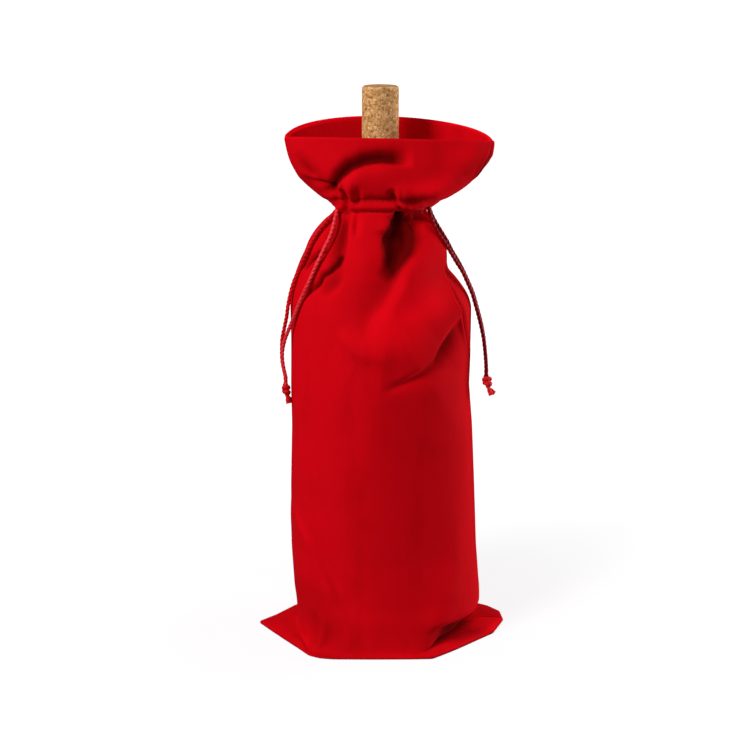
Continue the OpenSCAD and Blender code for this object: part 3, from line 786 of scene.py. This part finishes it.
# Folds of the front panel.
FRONT_FOLDS = [
    # the collar hangs over a lobe that bulges below it
    COLLAR_BAND,
    (2, [(-24, 279, 1, 3), (-20.5, 285.5, 1.6, 3.4, 6), (-12, 291, 1.6, 3.6, 8), (2, 293.8, 1.4, 3.6, 9),
        (16, 293, 0.4, 5, 9), (30, 290, 0, 7, 9)]),
    # the collar's right half puffs out over the channel
    (2, [(4, 280, 0, 5, 3), (14, 280.6, 3, 6, 3), (32, 281, 3.2, 6, 3.4), (43, 284, 1.4, 6, 4),
        (50, 289, 0, 6, 4)]),
    # crease at the collar's left
    (1.5, [(-47, 289, 0, 2, 4), (-40, 286.2, -3.4, 1.4, 4.5), (-32, 284.4, -4.2, 1.4, 4.5),
        (-25, 281, -2.5, 1.5, 3)]),
    (2, [(-46, 300, 0, 5, 3), (-40, 291, -2.6, 5, 2.4), (-33, 285.5, -2, 4, 2)]),
    # puffs over the channel, left of the flat band
    (2, [(-23.5, 288, 0, 1.4), (-22.2, 282, -3.6, 1.6), (-20, 276, -3.8, 1.2), (-19.5, 271, -1.5, 0.9)]),
    (2, [(-18, 290, 0, 3), (-17.5, 284, 2, 2.4), (-16.5, 278, 1.8, 2.4)]),
    (2, [(-12, 287, 0, 1.8, 2), (-12.3, 281, -1.8, 1.6, 2.2), (-13, 276.5, -1.8, 1.4, 2)]),
    (1.5, [(-13.6, 269.5, -0.6, 0.9), (-13.8, 267, -2.6, 1.4), (-14.2, 262, -3, 1.8), (-14, 255, 0, 2)]),
    (2, [(-12.7, 278.3, 0, 2.2, 1), (-6, 277.3, -1.8, 2.4, 1), (2, 276.4, -2.4, 2.6, 1),
        (8, 276, -1.8, 2.4, 0.9)]),
    # main pleat: pit above the channel, slit across it
    (2, [(6.8, 284.5, 0, 2), (7, 281, -4.6, 2.2), (7.6, 278.6, -5.4, 2, 2.2), (9.4, 276, -3.6, 0.9, 1.2),
        (10.7, 273, -3, 0.8), (11.3, 269, -3.6, 0.9)]),
    (2, [(9.8, 286, 0, 1.2), (10, 281.5, 1.4, 1), (10.4, 277, 1, 0.9)]),
    # the pocket below it, and the valley that runs down from it
    POCKET,
    (2, [(12, 253, 0, 4, 8), (11.6, 246, -2.4, 3.6, 10), (8.6, 233.5, -4.4, 4.2, 15),
        (1.2, 220, -3.8, 4.8, 17), (-7.6, 208, -2.6, 5.2, 15), (-18, 197, 0, 5, 13)]),
    # second pleat, and the ridge between the two
    (1.8, [(12.2, 276, 0, 1.2, 1), (16, 276.6, -3.4, 1.8, 1), (20.3, 277.5, -2.4, 1.8, 1.2),
        (26, 280, 0, 2)]),
    (3, [(22, 271.5, -1, 1.6), (23.6, 269.2, -5, 3.4, 3), (25, 266.4, -4.2, 3.2, 3.4), (27, 261, 0, 3)]),
    (2, [(14.6, 269.5, 1.6, 1.3, 1.2), (17.2, 264.5, 3.4, 1.7, 1.6), (20.2, 259, 3, 2.6, 1.8),
        (24, 251, 0, 5, 3)]),
    (2, [(13.5, 273, 0, 2, 1.4), (18, 272.8, 1.6, 2.4, 1.6), (24, 273, 1.4, 2.4, 1.8)]),
    # the lobe at the right of the valley
    (2, [(24, 250, 0, 14, 3), (21, 240, 1.8, 22, 5), (13.5, 226, 2.2, 26, 6), (1, 210.5, 1.8, 28, 6),
        (-13, 199, 0.8, 26, 4), (-23, 192, 0, 22, 3)]),
    # the wedge's lower edge
    (2, [(-26, 202, 0, 6, 2.5), (-21, 199, 1.4, 9, 3.4), (-14.7, 193, 1.7, 10, 4.2),
        (-8, 190.6, 1.6, 10, 4.8), (-1, 190, 1.2, 10, 5.5), (8, 191, 0, 9, 7)]),
    (2, [(-26, 196, 0, 8, 16), (-12, 189, 2, 18, 38), (2, 186.5, 3.9, 20, 52), (18, 188, 3.6, 20, 52),
        (33, 197, 0, 18, 38)]),
    # diagonal crease on the right
    (1.7, [(53, 213, 0, 4, 2), (46, 204, -2.8, 6, 1.8), (39, 193.5, -5, 8, 1.5), (32, 183.8, -6.4, 9, 1.3),
        (22.5, 178, -6.2, 9, 1.3), (12, 172.6, -3.2, 9, 1.8), (2, 167.5, 0, 8, 3)]),
    (2, [(2, 164, 0, 2.4, 8), (11, 169, 1.6, 2.4, 8), (23, 175.5, 2.4, 2.4, 9), (33, 181.5, 2, 2.4, 9),
        (42, 190, 0, 2.4, 8)]),
    # gathers at the left shoulder
    (2, [(-19.5, 270, 0, 1.2, 1.6), (-20.3, 264, -3, 1.2, 5), (-21, 253, -3.6, 1.3, 7),
        (-22, 246, -2.4, 1.5, 7), (-24, 238, 0, 2.2, 7)]),
    (2, [(-20, 238, 0, 2, 6), (-26, 229, -1.6, 2, 8), (-36, 220, 0, 3, 8)]),
    (2, [(-26, 265, 0, 1.6), (-29.5, 258, -3, 2, 2.4), (-33, 250, -3.2, 2, 3), (-36, 241, 0, 2.4, 3)]),
    LEFT_CREASE,
    JAGGED_CREASE,
    # fold at the right, where the side bulges out from behind the front
    (2, [(29.3, 266, 0, 2, 3), (34.4, 254, 1.4, 1.4, 4), (39, 240, 2.2, 1.4, 5), (43.5, 226, 2.6, 1.5, 6),
        (47, 214, 2.4, 1.6, 6), (50.5, 201.5, 0, 2, 6)]),
    (2, [(42.5, 240, 0, 2, 1.5), (46, 228, -3.4, 2.6, 1.8), (49.4, 216, -3.6, 2.4, 1.8),
        (52, 204, 0, 2, 1.5)]),
    # base at the left
    (1.4, [(-54, 88, 0, 2, 5), (-49, 76, 2, 1.4, 6), (-40.8, 64, 2.4, 1.3, 7), (-29.8, 40, 2, 1.5, 8),
        (-25, 30, 0, 3, 8)]),
    (1.4, [(-45, 34, 0, 2, 4), (-40, 26, 1.8, 1.5, 5), (-28, 15, 1.6, 2, 6), (-18, 6, 0, 3, 6)]),
    (2, [(-37, 62, 0, 4, 3), (-29, 46, -2.2, 8, 4), (-20, 32, -2.4, 10, 5), (-8, 16, 0, 10, 6)]),
    # base at the right
    (2, [(46, 92, 0, 6, 8), (46, 60, 1.8, 7, 9), (42, 34, 3, 8, 9), (34, 14, 1.4, 8)]),
]
# Folds of the back panel, also as seen from the front.
BACK_FOLDS = [
    # hollow behind the right seam of the collar
    (2, [(65, 306, 0, 2), (62.5, 299, -3, 2.5), (56, 290, 0, 2)]),
    # long soft waves down the back
    (2, [(-20, 262, 0, 3), (-27, 236, -2.4, 6, 8), (-34, 205, -1.4, 9, 10), (-36, 170, 0, 9, 10)]),
    (2, [(4, 262, 0, 3), (2, 240, -2.8, 5, 8), (8, 212, -2, 10, 9), (16, 180, 0, 12, 9)]),
    (1.7, [(-44, 214, 0, 3, 4), (-28, 200, -2.6, 7, 2.4), (-8, 192, -3, 8, 2.4), (14, 194, -1.5, 8, 3),
        (26, 200, 0, 8, 3)]),
    (2, [(30, 258, 0, 3), (36, 236, -2.6, 6, 5), (34, 210, -1.8, 9, 8), (28, 186, 0, 9)]),
    (2, [(40, 92, 0, 9, 8), (34, 58, -1.6, 9, 8), (22, 26, -1.8, 9, 8), (14, 10, 0, 8)]),
    (2, [(-46, 100, 0, 6, 8), (-42, 62, -1.8, 6, 8), (-30, 28, -1.8, 8), (-22, 10, 0, 8)]),
]
# Where an edge of the pocket slides sideways over it: x, z, slide, widths as in fold().
FRONT_SLIDES = [
    [(11, 269, 0, 0.5, 2), (6.2, 266.5, 0.6, 0.5, 4), (1.2, 261, 1.4, 0.8, 5), (-1.3, 255.5, 1.6, 1.2, 6),
        (-2.2, 250, 1, 1.6, 6), (-0.5, 244, 0, 2, 6)],
    [(12.2, 269.5, 0, 2, 0.5), (17.2, 266.4, -1.4, 4, 0.8), (22.6, 261, -1.8, 5, 1.2),
        (23, 256, -1.6, 6, 1.4), (20, 250, -1.2, 6, 1.4), (14, 243, -0.6, 6, 1.4), (7, 235, 0, 6, 1.4)],
]
FOLDS = {FRONT: FRONT_FOLDS, BACK: BACK_FOLDS}
SLIDES = {FRONT: FRONT_SLIDES, BACK: []}
# Strokes of painted light on each panel.
PAINTED_LIGHT_STROKES = {FRONT: FRONT_PAINTED_LIGHT, BACK: []}
# Folds and strokes that add painted shade beyond what the wall's own depth gives, and their shares.
EXTRA_PAINTED_SHADE = {
    FRONT: [(POCKET, 1), (COLLAR_BAND, 0.78), (LEFT_CREASE, 2.4), (JAGGED_CREASE, 2.4),
            (PAINTED_SHADE_STRIP, 1.4), (LEFT_PAINTED_SHADE, 1), (COLLAR_PAINTED_SHADE, 1), (DIAGONAL_PAINTED_SHADE, 1)],
    BACK: [(BACK_SEAM_PAINTED_SHADE, 1.4)]}
# Small pleats that radiate from the channel: seed, places along x, share of the usual depth.
PLEATS = {
    FRONT: (5, [-24.5, -20, 14.5], 1),
    BACK: (9, [-25 + 4.6 * i for i in range(12)], 1.9)}


# Heights of a pleat's points near the channel, from the top: its end is drawn on from the first
# and the last.
PLEAT_Z = (275, 277.5, 271, 265.5, 268)
# A pleat at this distance from the middle leans by its own length.
PLEAT_FAN = 28


def seeded_folds(side):
    """Small pleats that radiate from the channel, drawn at random from a fixed seed."""
    seed, places, share = PLEATS[side]
    draw = random.Random(seed)
    folds = []
    for x in places:
        x = x + draw.uniform(-1.2, 1.2)
        spread = x / PLEAT_FAN
        up = draw.uniform(8, 18)
        down = draw.uniform(14, 40)
        depth = draw.uniform(0.9, 1.6) * share
        width = draw.uniform(1.2, 2.0)
        folds.append((2, [(x + spread * up * 0.7, PLEAT_Z[0] + up, 0, width * 2.2),
                          (x + spread * 2, PLEAT_Z[1], -depth, width * 1.2),
                          (x, PLEAT_Z[2], -depth * 0.8, width * 0.7),
                          (x + spread * 2, PLEAT_Z[3], -depth * 1.2, width),
                          (x + spread * down * 0.4, PLEAT_Z[4] - down, 0, width * 3)]))
    return folds


# Pushes round the channel: height, push at the sides, how much more of it at the front and the
# back, and half height. The cord bulges between two rows of stitches, which draw the cloth in.
CHANNEL_SHAPE = [
    ((CHANNEL_HIGH + CHANNEL_LOW) / 2, 0.5, 1.1, 2.1),
    (CHANNEL_HIGH, -0.4, -0.9, 0.9),
    (CHANNEL_LOW, -0.3, -1.1, 0.7)]


def channel_rise(y):
    """The channel runs higher at the front and the back than at the side seams."""
    return CHANNEL_RISE * np.clip(np.abs(y) / CHANNEL_RISE_Y, 0, 1) ** 2


def channel_push(grid):
    """The channel's bulge and its two drawn in rows, fuller at the front and the back."""
    y = grid[:, :, 1]
    level = grid[:, :, 2] - channel_rise(y)
    facing = np.clip(np.abs(y) / CHANNEL_RISE_Y, 0, 1)
    return sum((push + more * facing) * np.exp(-((level - height) / half) ** 2)
               for height, push, more, half in CHANNEL_SHAPE)


# Mouths of the channel round the drawstrings: height, sideways push, half height.
LEFT_MOUTH = (269.5, -3.2, 3.2)
RIGHT_MOUTH = (271.6, 1.0, 3.0)
MOUTH_Y = -9.0
MOUTH_HALF_Y = 3.8


def mouth_push(z, mouth):
    """Sideways push of one mouth at each height."""
    height, push, half = mouth
    return push * np.exp(-((z - height) / half) ** 2)


def exit_sleeve(grid):
    """Sideways push where the channel opens round the drawstrings, near both side seams."""
    z = grid[:, :, 2]
    beside = np.exp(-((grid[:, :, 1] - MOUTH_Y) / MOUTH_HALF_Y) ** 4)
    return np.where(grid[:, :, 0] < 0, mouth_push(z, LEFT_MOUTH), mouth_push(z, RIGHT_MOUTH)) * beside


# Side seams: depth of the groove, how much deeper it is where the collar flares, and its width.
SEAM_DEPTH = 0.9
SEAM_FLARE = 0.3
FLARE_LOW = 280
FLARE_HIGH = 292
SEAM_WIDTH = 1.1
# The ridge beside the groove: height, distance from the seam, half width.
RIDGE_PUSH = 0.5
RIDGE_IN = 3.2
RIDGE_HALF = 1.8
# The panels are sewn together, so folds start this far from the seam and are whole by there.
FOLD_START = 0.5
FOLD_WHOLE = 5.0


def from_seam():
    """Distance of each column from the nearer side seam, on the flat cloth."""
    shares = np.linspace(0, 1, COLUMNS + 1)
    return np.minimum(shares, 1 - shares)[None, :] * FLAT_WIDTH


def seam_push(grid):
    """The side seams are drawn in, more so where the collar flares."""
    edge = from_seam()
    flare = smooth_step(grid[:, :, 2], FLARE_LOW, FLARE_HIGH)
    groove = (SEAM_DEPTH + SEAM_FLARE * flare) * np.exp(-(edge / SEAM_WIDTH) ** 1.5)
    return RIDGE_PUSH * np.exp(-((edge - RIDGE_IN) / RIDGE_HALF) ** 2) - groove


def soften(values):
    """Values averaged a little with their neighbours on the grid."""
    for across in (False, True):
        lines = values.T if across else values
        result = lines.copy()
        result[1:-1] = (lines[:-2] + 2 * lines[1:-1] + lines[2:]) / 4
        values = result.T if across else result
    return values


def folded_wall(side):
    """The wall with its folds, and its painted shading at each point: painted shade from the depth of the
    folds, painted light where it is below zero.
    """
    grid = wall_grid(side)
    normals = grid_normals(grid, side)
    push = sum(fold(grid, power, line) for power, line in FOLDS[side] + seeded_folds(side))
    slide = sum((fold(grid, 2, line) for line in SLIDES[side]), np.zeros(push.shape))
    free = smooth_step(from_seam(), FOLD_START, FOLD_WHOLE)
    push = soften(push) * free + channel_push(grid) + seam_push(grid)
    sideways = soften(slide) * free
    if side == FRONT:
        sideways = sideways + exit_sleeve(grid) * free
    result = grid + normals * push[:, :, None]
    result[:, :, 0] += sideways
    # The depth of each fold, with extra strokes, becomes painted shade; painted light strokes then lower
    # it.
    depth = -push
    for (power, line), share in EXTRA_PAINTED_SHADE[side]:
        depth = depth - share * fold(grid, power, line)
    painted_shading = np.clip((depth - PAINTED_SHADE_FROM) / (PAINTED_SHADE_FULL - PAINTED_SHADE_FROM), 0, 1)
    for power, line in PAINTED_LIGHT_STROKES[side]:
        painted_shading = painted_shading - fold(grid, power, line)
    return result, painted_shading


def base_curve(rows, which):
    """Smooth curve through the base's points, one point for each column."""
    shares = np.linspace(-1, 1, COLUMNS + 1)
    step = BASE_BLUR * (1 - np.abs(shares))
    known = [row[0] for row in rows]
    return np.column_stack([blurred(known, [row[which][k] for row in rows], shares, step, 5)
                            for k in range(2)])


# Rows of the base: down from the wall, out over the ears, round the fold, back underneath.
LOWER_ROWS = 18
EAR_ROWS = 9
FOLD_ROWS = 6
UNDER_ROWS = 10
UNDER_Z = 0.05
# Painted shade on the underside of the folded edge.
UNDER_PAINTED_SHADE = 0.85
# How far the folded edge stays inside a half round, and how far the seam under the base reaches.
FOLD_IN = 0.25
SEAM_REACH = 0.97
# The ears' upper layer swells between the wall and the edge, and this share of it in waves.
EAR_SWELL = 0.7
EAR_WAVES = 0.35
# The wall overhangs the right ear at the front: place and half width as shares, and depth.
HOLLOW_SHARE = 0.66
HOLLOW_HALF = 0.31
HOLLOW_DEPTH = 9.0
# It closes over the last part of the way to the seam.
HOLLOW_END = 0.12
# Where it opens and where painted shade sets in, as shares of the way down the wall's lower rows, and
# where the painted shade ends, as shares of the way out over the ear.
HOLLOW_OPENS = (0.02, 0.3)
HOLLOW_PAINTED_SHADE_IN = (0.1, 0.28)
HOLLOW_PAINTED_SHADE_OUT = (0.15, 0.62)
# The right ear's tip at the front, where light is painted onto the pile: along the edge, out over
# the ear, and how much.
PAINTED_LIGHT_EAR_ALONG = (0.74, 0.90)
PAINTED_LIGHT_EAR_OUT = (0.25, 0.6)
EAR_PAINTED_LIGHT = -0.5
# Widths of the ear between which its upper layer goes from thin to thick.
THIN_EAR = (1, 7)
# The lower wall keeps its place at first and then runs out to the base: the power of its way.
ROOT_POWER = 2.2


def base_grid(wall, side):
    """Rows from the wall's lower edge down to the base, out to its outline and back underneath.

    Also gives its painted shading at each point.
    """
    rows = FRONT_BASE if side == FRONT else BACK_BASE
    shares = np.linspace(-1, 1, COLUMNS + 1)
    root = base_curve(rows, 1)
    edge = base_curve(rows, 2)
    outward = edge / np.linalg.norm(edge, axis=1)[:, None]
    hollow = np.zeros(COLUMNS + 1)
    painted_ear_light = np.zeros(COLUMNS + 1)
    if side == FRONT:
        hollow = np.exp(-((shares - HOLLOW_SHARE) / HOLLOW_HALF) ** 4)
        hollow = hollow * smooth_step(1 - shares, 0, HOLLOW_END)
        # Painted light along the right ear's front tip.
        painted_ear_light = EAR_PAINTED_LIGHT * smooth_step(shares, *PAINTED_LIGHT_EAR_ALONG)
    start = wall[-1]
    slope = wall[-1] - wall[-4]
    slope = slope / np.abs(slope[:, 2:3])
    reach = np.linalg.norm(edge - root, axis=1)
    top = TOP_LAYER_THIN + (TOP_LAYER - TOP_LAYER_THIN) * smooth_step(reach, *THIN_EAR)
    drop = start[:, 2] - top
    result = []
    painted_shading = []
    for i in range(1, LOWER_ROWS + 1):
        s = i / LOWER_ROWS
        inward = s ** ROOT_POWER
        keep = slope[:, :2] * (drop * (s - s * s))[:, None]
        xy = start[:, :2] * (1 - inward) + root * inward + keep
        xy = xy - outward * (hollow * HOLLOW_DEPTH * smooth_step(s, *HOLLOW_OPENS))[:, None]
        result.append(np.column_stack([xy, start[:, 2] - drop * math.sin(s * math.pi / 2)]))
        # Painted shade deep in the hollow.
        painted_shading.append(hollow * smooth_step(s, *HOLLOW_PAINTED_SHADE_IN))
    waves = EAR_WAVES * np.sin(np.linspace(0, 9, COLUMNS + 1))
    inner = root - outward * (hollow * HOLLOW_DEPTH)[:, None]
    for i in range(1, EAR_ROWS + 1):
        s = i / EAR_ROWS
        z = top + EAR_SWELL * np.sin(s * math.pi) * (1 + waves) * (top - TOP_LAYER_THIN)
        result.append(np.column_stack([inner + (edge - inner) * s, z]))
        # The hollow's painted shade fades out over the ear, and the right ear's tip gets painted light.
        dark = hollow * (1 - smooth_step(s, *HOLLOW_PAINTED_SHADE_OUT))
        painted_shading.append(dark + painted_ear_light * smooth_step(s, *PAINTED_LIGHT_EAR_OUT))
    middle = top / 2
    for i in range(1, FOLD_ROWS + 1):
        a = math.pi * i / FOLD_ROWS
        xy = edge + outward * ((middle - FOLD_IN) * math.sin(a))[:, None]
        result.append(np.column_stack([xy, middle + (middle - UNDER_Z) * math.cos(a)]))
        # The lower half of the fold's round gets painted shade.
        painted_shading.append(np.full(COLUMNS + 1, UNDER_PAINTED_SHADE if a > math.pi / 2 else 0.0))
    tips = edge[[0, -1]]
    seam = np.column_stack([edge[:, 0] * SEAM_REACH, np.interp(edge[:, 0], tips[:, 0], tips[:, 1])])
    for i in range(1, UNDER_ROWS + 1):
        s = i / UNDER_ROWS
        result.append(np.column_stack([edge + (seam - edge) * s, np.full(COLUMNS + 1, UNDER_Z)]))
        painted_shading.append(np.zeros(COLUMNS + 1))
    return np.array(result), np.array(painted_shading)


ROLL_R = 1.1
ROLL_ROWS = 7
# Painted light on the rim's roll at the back.
BACK_ROLL_PAINTED_LIGHT = -0.4


def rim_roll(wall, normals):
    """Rows that turn the rim inwards over a half round, from the inside to the outside."""
    down = wall[1] - wall[0]
    down = down / np.linalg.norm(down, axis=1)[:, None]
    centre = wall[0] - normals[0] * ROLL_R
    rows = []
    for i in range(ROLL_ROWS):
        a = math.pi * (1 - i / ROLL_ROWS)
        rows.append(centre + normals[0] * ROLL_R * math.cos(a) - down * ROLL_R * math.sin(a))
    return np.array(rows)


def velvet_sheet(node, grid, painted_shading, flip, thickness, offset, material):
    """A grid of points as a sheet of velvet that carries its painted shading at each point."""
    rows, columns = grid.shape[:2]
    faces = grid_faces(rows, columns, flip)
    points = grid.reshape(-1, 3) * MM
    piece = add_piece(node + "_visual", BAG, node, "velvet", points, faces, material)
    layer = piece.data.attributes.new("painted_shading", "FLOAT", "POINT")
    layer.data.foreach_set("value", painted_shading.reshape(-1).astype(np.float32))
    modifier = piece.modifiers.new("thickness", "SOLIDIFY")
    modifier.thickness = thickness
    modifier.offset = offset


PANEL_THICK = 0.0009


def panel(node, side, material):
    """One panel from its rolled rim to the seam under the base; gives its wall."""
    wall, painted_shading = folded_wall(side)
    roll = rim_roll(wall, grid_normals(wall, side))
    base, base_painted_shading = base_grid(wall, side)
    grid = np.concatenate([roll, wall, base])
    # The rim's roll gets painted light at the back.
    roll_painted_shading = np.full(roll.shape[:2], BACK_ROLL_PAINTED_LIGHT if side == BACK else 0.0)
    painted_shading = np.concatenate([roll_painted_shading, painted_shading, base_painted_shading])
    # The front's lower left gets painted shade, over the wall and the base alike.
    if side == FRONT:
        painted_shading = np.minimum(painted_shading - fold(grid, *BASE_PAINTED_SHADE) / PAINTED_SHADE_FULL, 1)
    velvet_sheet(node, grid, painted_shading, side == BACK, PANEL_THICK, -1, material)
    return wall


HEM_INSET = 1.9
HEM_LOW = 266.0
HEM_THICK = 0.0008
# Painted light inside the back of the collar: x, half width, power.
HEM_PAINTED_LIGHT_STRIPES = [(22, 19, 4), (-50, 10, 2)]
HEM_PAINTED_LIGHT = -0.5


def hem(node, side, wall, material):
    """The cloth turned in at the rim, which lines the collar down to the channel."""
    normals = grid_normals(wall, side)
    rows = []
    for r in range(len(wall)):
        if wall[r, :, 2].mean() < HEM_LOW:
            break
        rows.append(wall[r] - normals[r] * HEM_INSET)
    grid = np.array(rows)
    painted_shading = np.zeros(grid.shape[:2])
    # Painted light on the inside of the back of the collar.
    if side == BACK:
        for x, half, power in HEM_PAINTED_LIGHT_STRIPES:
            painted_shading += HEM_PAINTED_LIGHT * np.exp(-((grid[:, :, 0] - x) / half) ** power)
    velvet_sheet(node, grid, painted_shading, side == FRONT, HEM_THICK, 1, material)


STITCH_L = 2.5
STITCH_GAP = 1.0
STITCH_POINTS = 9
STITCH_ARCH = 0.4
STITCH_SINK = 0.26
THREAD_R = 0.2


def ring_at(walls, height):
    """Closed ring of points on the bag along the channel, once round from the left seam."""
    halves = []
    for wall in walls:
        points = []
        for c in range(wall.shape[1]):
            column = wall[::-1, c]
            level = np.maximum.accumulate(column[:, 2] - channel_rise(column[:, 1]))
            points.append([np.interp(height, level, column[:, k]) for k in range(3)])
        halves.append(np.array(points))
    front, back = halves
    return np.concatenate([front, back[::-1][1:]])


def stitch_row(which, walls, height, material):
    """Running stitches sunk into the cloth at both ends."""
    ring = ring_at(walls, height)
    run = run_along(ring)
    count = int(run[-1] / (STITCH_L + STITCH_GAP))
    arch = STITCH_ARCH * np.sin(np.linspace(0, math.pi, STITCH_POINTS)) - STITCH_SINK
    parts = []
    for i in range(count):
        path = points_at(run[-1] * i / count + np.linspace(0, STITCH_L, STITCH_POINTS), run, ring)
        out = path[:, :2] / np.linalg.norm(path[:, :2], axis=1)[:, None]
        path[:, :2] += out * arch[:, None]
        parts.append(tube_mesh(path, np.full(STITCH_POINTS, THREAD_R), 8))
    points, faces = join_meshes(parts)
    node = which + "_channel_stitches"
    points = np.array(points) * MM
    add_piece(which + "_stitches_visual", BAG, node, "thread", points, faces, material)


def make_bag():
    velvet = velvet_material()
    front = panel("front_panel", FRONT, velvet)
    back = panel("back_panel", BACK, velvet)
    hem("front_hem", FRONT, front, velvet)
    hem("back_hem", BACK, back, velvet)
    thread = thread_material()
    stitch_row("upper", (front, back), CHANNEL_HIGH, thread)
    stitch_row("lower", (front, back), CHANNEL_LOW, thread)


# ---------------------------------------------------------------- cork and bottle

def lathe(profile, segments):
    """Points and faces of a profile, as radius and height, turned round the upright axis."""
    points = []
    for radius, height in profile:
        for k in range(segments):
            angle = 2 * math.pi * k / segments
            points.append((radius * math.cos(angle), radius * math.sin(angle), height))
    return np.array(points), ring_faces(len(profile), segments)


def arc(x, z, radius, start, end, steps=10):
    """Points of an arc from one angle to another, in degrees."""
    angles = np.radians(np.linspace(start, end, steps + 1))
    return [(x + radius * math.cos(a), z + radius * math.sin(a)) for a in angles]


SEGMENTS = 96
MOUTH_Z = 308.0
CORK_TOP = 340.5
CORK_LOW = 296.5
CORK_R = 10.75
CORK_SEATED_R = 9.2
CORK_EDGE_R = 1.9
PITS = 150


def make_cork():
    """Stopper with a rounded top edge, squeezed where it sits in the neck, with small pits."""
    flat_r = CORK_R - CORK_EDGE_R
    edge_z = CORK_TOP - CORK_EDGE_R
    profile = [(0.5, CORK_LOW), (CORK_SEATED_R - 0.8, CORK_LOW), (CORK_SEATED_R, CORK_LOW + 0.8)]
    profile += [(CORK_SEATED_R, z) for z in np.linspace(CORK_LOW + 2, MOUTH_Z - 0.1, 8)]
    profile += [(CORK_R - 0.2, MOUTH_Z + 0.15), (CORK_R, MOUTH_Z + 0.8)]
    profile += [(CORK_R, z) for z in np.linspace(MOUTH_Z + 1.4, edge_z - 0.5, 48)]
    profile += arc(flat_r, edge_z, CORK_EDGE_R, 0, 90, 8)
    profile += [(r, CORK_TOP) for r in np.linspace(flat_r - 0.6, 0.5, 14)]
    points, faces = lathe(profile, SEGMENTS)
    draw = np.random.default_rng(3)
    for _ in range(PITS):
        angle = draw.uniform(0, 2 * math.pi)
        height = draw.uniform(MOUTH_Z + 1, CORK_TOP + 4)
        spot = np.array([CORK_R * math.cos(angle), CORK_R * math.sin(angle), height])
        if height > CORK_TOP:
            spot = np.array([*(spot[:2] * draw.uniform(0, 0.95)), CORK_TOP])
        size = draw.uniform(0.25, 0.6)
        near = np.exp(-(np.linalg.norm(points - spot, axis=1) / size) ** 2)
        inward = points * (1, 1, 0) / CORK_R if height <= CORK_TOP else np.array([[0, 0, 1.0]])
        points = points - inward * (near * draw.uniform(0.1, 0.35))[:, None]
    add_piece("cork_visual", "cork", "cork", "cork", points * MM, faces, cork_material())


# The bottle, from below: base, body, shoulder, hollow above it, neck, lip, bore.
BOTTLE_Z = 1.2
BODY_R = 37.5
BODY_TOP = 186
FOOT_R = 3.5
SHOULDER_R = 28
HOLLOW_R = 22
NECK_R = 14.3
LIP_R = 14.8
LIP_H = 13
BORE_R = 9.25
GLASS = 3.0


def bottle_profile():
    """Half section of the bottle: from the punt up the outside, over the lip, down the inside."""
    shoulder_x = BODY_R - SHOULDER_R
    hollow_x = NECK_R + HOLLOW_R
    rise = math.sqrt((SHOULDER_R + HOLLOW_R) ** 2 - (hollow_x - shoulder_x) ** 2)
    hollow_z = BODY_TOP + rise
    tangent = math.degrees(math.atan2(rise, hollow_x - shoulder_x))
    lip_low = MOUTH_Z - LIP_H
    foot_z = BOTTLE_Z + FOOT_R
    profile = [(0.3, BOTTLE_Z + 20), (10, BOTTLE_Z + 15), (20, BOTTLE_Z + 2), (26, BOTTLE_Z)]
    profile += arc(BODY_R - FOOT_R, foot_z, FOOT_R, -90, 0)
    profile += [(BODY_R, z) for z in np.linspace(20, BODY_TOP - 10, 12)]
    profile += arc(shoulder_x, BODY_TOP, SHOULDER_R, 0, tangent, 16)
    profile += arc(hollow_x, hollow_z, HOLLOW_R, 180 + tangent, 180, 14)[1:]
    profile += [(NECK_R - 0.3, lip_low - 0.4), (LIP_R - 0.3, lip_low)]
    profile += arc(LIP_R - 0.6, lip_low + 0.6, 0.6, -60, 0, 5)
    profile += arc(LIP_R - 0.6, lip_low + 6.0, 0.6, 0, 70, 5)
    profile += arc(LIP_R - 0.9, lip_low + 8.0, 0.5, -60, 0, 4)
    profile += arc(LIP_R - 1.4, MOUTH_Z - 1.4, 1.4, 0, 90, 8)
    profile += arc(BORE_R + 0.8, MOUTH_Z - 0.8, 0.8, 90, 180, 6)
    profile += [(BORE_R, hollow_z + 30)]
    profile += arc(hollow_x, hollow_z, HOLLOW_R + GLASS, 180, 180 + tangent, 14)
    profile += arc(shoulder_x, BODY_TOP, SHOULDER_R - GLASS, tangent, 0, 16)[1:]
    profile += arc(BODY_R - GLASS - FOOT_R, foot_z + 5, FOOT_R, 0, -90)
    profile += [(22, BOTTLE_Z + 7), (10, BOTTLE_Z + 20), (0.3, BOTTLE_Z + 25)]
    return profile


def make_bottle():
    points, faces = lathe(bottle_profile(), SEGMENTS)
    add_piece("bottle_visual", "bottle", "bottle", "bottle_glass", points * MM, faces, glass_material())


make_camera()
make_studio()
make_drawstrings()
make_bag()
make_cork()
make_bottle()
